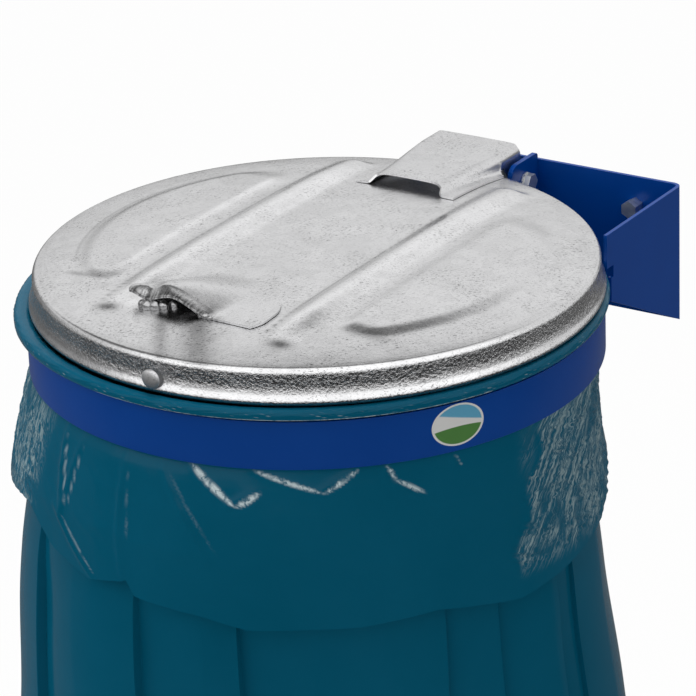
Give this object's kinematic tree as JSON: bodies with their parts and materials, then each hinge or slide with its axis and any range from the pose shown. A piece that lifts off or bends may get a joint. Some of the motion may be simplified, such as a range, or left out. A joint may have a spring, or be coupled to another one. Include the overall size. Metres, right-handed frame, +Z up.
{
  "type": "bin bag holder",
  "caption": "Wall-mounted bin bag holder: a folded blue bracket carries a ring with a clamped film sack, under a hinged round galvanised lid with a grip.",
  "frame": {"origin": "wall face of the bracket's plate, in the middle plane of the lid and half way up the plate", "axes": "+Z up, +Y into the wall, -Y out towards the user, +X to the user's right when facing the wall"},
  "size_m": [0.6024, 0.5151, 1.0095],
  "materials": {
    "blue_paint": "semi-gloss",
    "galvanised": "hot-dip galvanised, bright and slightly uneven",
    "zinc_plated": "satin",
    "film": "glossy, creased",
    "rubber": "matt",
    "nylon": "matt"
  },
  "bodies": {
    "holder": {"wall_bracket": "blue_paint", "hinge_ear_left": "blue_paint", "hinge_ear_right": "blue_paint", "holder_ring": "blue_paint", "clamping_ring": "blue_paint", "bin_bag": "film", "hinge_bolt": "zinc_plated", "hinge_nut": "zinc_plated", "hinge_washer_left": "zinc_plated", "hinge_washer_right": "zinc_plated", "wall_bolt_1": "zinc_plated", "wall_bolt_2": "zinc_plated", "wall_bolt_3": "zinc_plated", "wall_nut_1": "zinc_plated", "wall_nut_2": "zinc_plated", "wall_nut_3": "zinc_plated"},
    "lid": {"lid": "galvanised", "lid_handle": "galvanised", "hinge_hood": "galvanised", "hinge_saddle": "galvanised", "hinge_sleeve": "zinc_plated", "hinge_bush_left": "nylon", "hinge_bush_right": "nylon", "front_rivet": "galvanised", "lid_buffer": "rubber"}
  },
  "joints": [
    {"name": "lid_hinge", "type": "hinge", "parent": "holder", "child": "lid", "pos_m": [0, -0.0247, 0.0468], "axis": [-1, 0, 0], "range_deg": [0, 48]}
  ]
}
